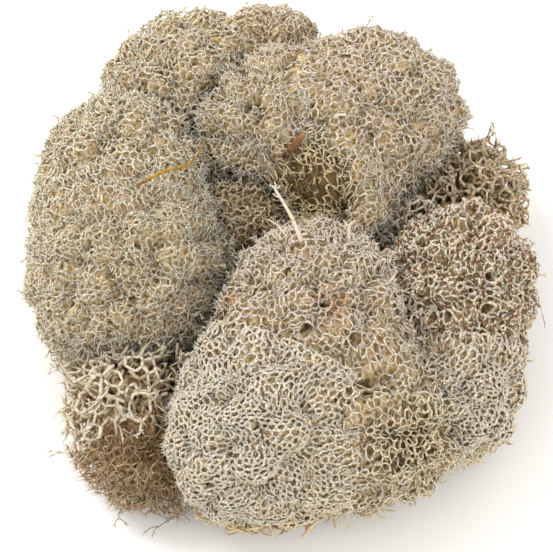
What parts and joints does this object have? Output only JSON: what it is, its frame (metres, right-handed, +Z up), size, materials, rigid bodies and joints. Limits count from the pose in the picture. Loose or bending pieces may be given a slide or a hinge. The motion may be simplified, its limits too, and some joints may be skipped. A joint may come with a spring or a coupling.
{
  "type": "reindeer moss clump",
  "caption": "Low cushion of reindeer moss: rounded pale heads of finely forked lichen twigs grown together over a mat of old brown stems, with a flat spot to rest on.",
  "frame": {"origin": "middle of the flat spot under the clump that it rests on", "axes": "+Z up, the lowest front head towards -Y, +X to the right seen from the front"},
  "size_m": [0.1145, 0.1287, 0.0496],
  "materials": {
    "moss_cream": "dry matt lichen, pale cream, browner in its depths",
    "moss_pinkish": "dry matt lichen, warm pinkish cream",
    "moss_greenish": "dry matt lichen, greenish grey cream",
    "moss_russet": "dry matt lichen, cream with red-brown tips",
    "moss_old": "old brown lichen twigs, matt",
    "stem_mat": "dead dark brown stems, matt",
    "stalk_amber": "dry amber stalk, slightly glossy",
    "bark": "thin orange-brown bark flake"
  },
  "bodies": {
    "root": {"head_front_dome": "moss_cream", "head_front_crown": "moss_pinkish", "head_front_right": "moss_cream", "head_left": "moss_greenish", "head_left_back": "moss_greenish", "head_back_centre": "moss_cream", "head_back_right": "moss_pinkish", "head_right_browned": "moss_russet", "head_far_left": "moss_greenish", "head_far_centre": "moss_pinkish", "head_small_grey": "moss_greenish", "head_lower_right": "moss_cream", "head_right_back": "moss_cream", "thicket_right": "moss_pinkish", "thicket_left": "moss_cream", "brown_tuft": "moss_old", "hollow_moss": "moss_old", "dead_stem_mat": "stem_mat", "amber_stalk": "stalk_amber", "bark_flake": "bark"}
  },
  "joints": []
}
